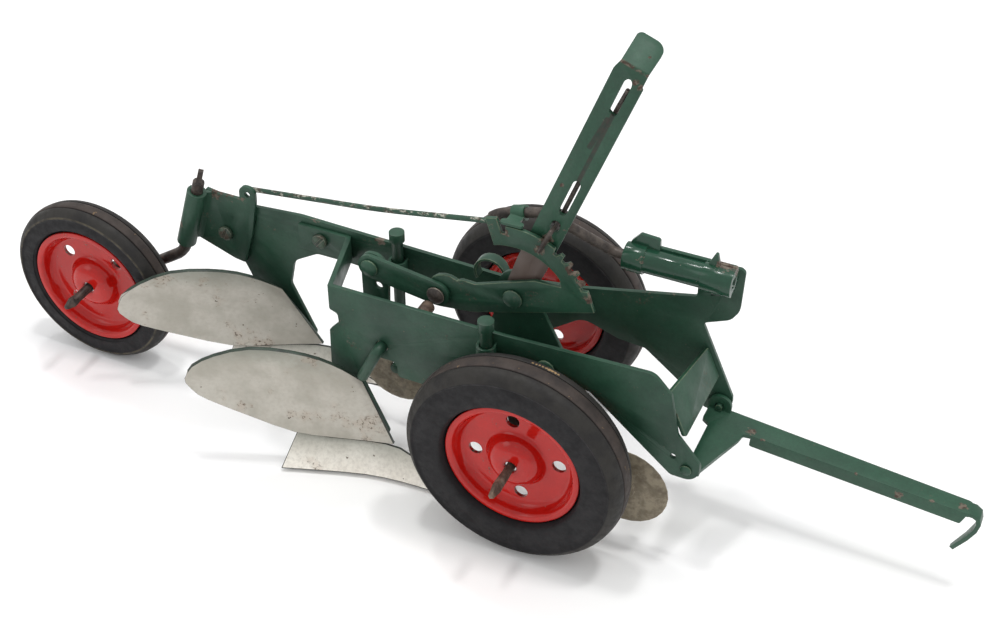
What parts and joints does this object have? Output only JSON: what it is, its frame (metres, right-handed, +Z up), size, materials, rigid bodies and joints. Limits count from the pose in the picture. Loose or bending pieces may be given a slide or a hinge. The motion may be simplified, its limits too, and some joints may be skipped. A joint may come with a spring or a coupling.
{
  "type": "toy two-furrow moldboard plough",
  "caption": "Pressed-steel toy trailed plough with mouldboard bodies, disc coulters, a lift lever, a towing drawbar and rubber-tyred wheels.",
  "frame": {"origin": "on the floor, under the middle of the overall box", "axes": "+X forwards to the drawbar hook, +Y to the plough's left side, +Z up"},
  "size_m": [0.306, 0.1026, 0.1505],
  "materials": {
    "green_paint": "glossy enamel, worn",
    "red_paint": "glossy enamel",
    "silver_paint": "worn silver paint",
    "bare_steel": "dull, lightly rusted",
    "tyre": "matt"
  },
  "bodies": {
    "frame": {"front_axle": "bare_steel", "right_side_plate": "green_paint", "strip_screw": "bare_steel", "right_plate_rivet": "green_paint", "left_beam": "green_paint", "front_cross_plate": "green_paint", "right_mouldboard": "silver_paint", "right_share": "silver_paint", "left_mouldboard": "silver_paint", "left_share": "silver_paint", "right_brace": "green_paint", "right_coulter_stem": "green_paint", "left_coulter_stem": "green_paint", "rear_bracket": "green_paint", "bracket_screw": "bare_steel", "quadrant": "green_paint", "quadrant_stand": "green_paint", "lever_rivet": "green_paint", "link_strap": "green_paint", "link_post": "green_paint", "link_rear_rivet": "green_paint", "link_front_pin": "bare_steel", "quadrant_spacer": "bare_steel", "front_sleeve": "green_paint", "adjuster_rod": "bare_steel", "rod_clip": "green_paint", "stay_rod": "green_paint", "beam_clip": "green_paint", "right_hitch_rivet": "green_paint", "left_hitch_rivet": "green_paint"},
    "rear_crank": {"rear_crank": "bare_steel"},
    "rear_wheel": {"rear_wheel_hub": "red_paint", "rear_wheel_tyre": "tyre"},
    "right_wheel": {"right_wheel_hub": "red_paint", "right_wheel_tyre": "tyre"},
    "left_wheel": {"left_wheel_hub": "red_paint", "left_wheel_tyre": "tyre"},
    "lever": {"lift_lever": "green_paint", "lever_pawl": "bare_steel"},
    "hitch": {"drawbar": "green_paint"},
    "right_coulter": {"right_disc": "bare_steel"},
    "left_coulter": {"left_disc": "bare_steel"}
  },
  "joints": [
    {"name": "right_wheel_spin", "type": "hinge", "parent": "frame", "child": "right_wheel", "pos_m": [0.03242, -0.03405, 0.0327], "axis": [0, 1, 0], "continuous": true},
    {"name": "left_wheel_spin", "type": "hinge", "parent": "frame", "child": "left_wheel", "pos_m": [0.01222, 0.03405, 0.0327], "axis": [0, 1, 0], "continuous": true},
    {"name": "rear_crank_swivel", "type": "hinge", "parent": "frame", "child": "rear_crank", "pos_m": [-0.09067, -0.0023, 0.0572], "axis": [0.3057, 0, 0.9521], "range_deg": [-40, 4]},
    {"name": "rear_wheel_spin", "type": "hinge", "parent": "rear_crank", "child": "rear_wheel", "pos_m": [-0.12488, -0.0106, 0.0281], "axis": [0, 1, 0], "continuous": true},
    {"name": "lift_lever_turn", "type": "hinge", "parent": "frame", "child": "lever", "pos_m": [0.02102, -0.0093, 0.0684], "axis": [0, 1, 0], "range_deg": [0, 40]},
    {"name": "drawbar_lift", "type": "hinge", "parent": "frame", "child": "hitch", "pos_m": [0.07682, -0.0078, 0.035], "axis": [0, -1, 0], "range_deg": [0, 60]},
    {"name": "right_disc_spin", "type": "hinge", "parent": "frame", "child": "right_coulter", "pos_m": [0.05922, -0.0205, 0.0206], "axis": [0, 1, 0], "continuous": true},
    {"name": "left_disc_spin", "type": "hinge", "parent": "frame", "child": "left_coulter", "pos_m": [-0.02098, -0.0028, 0.0228], "axis": [0, 1, 0], "continuous": true}
  ]
}
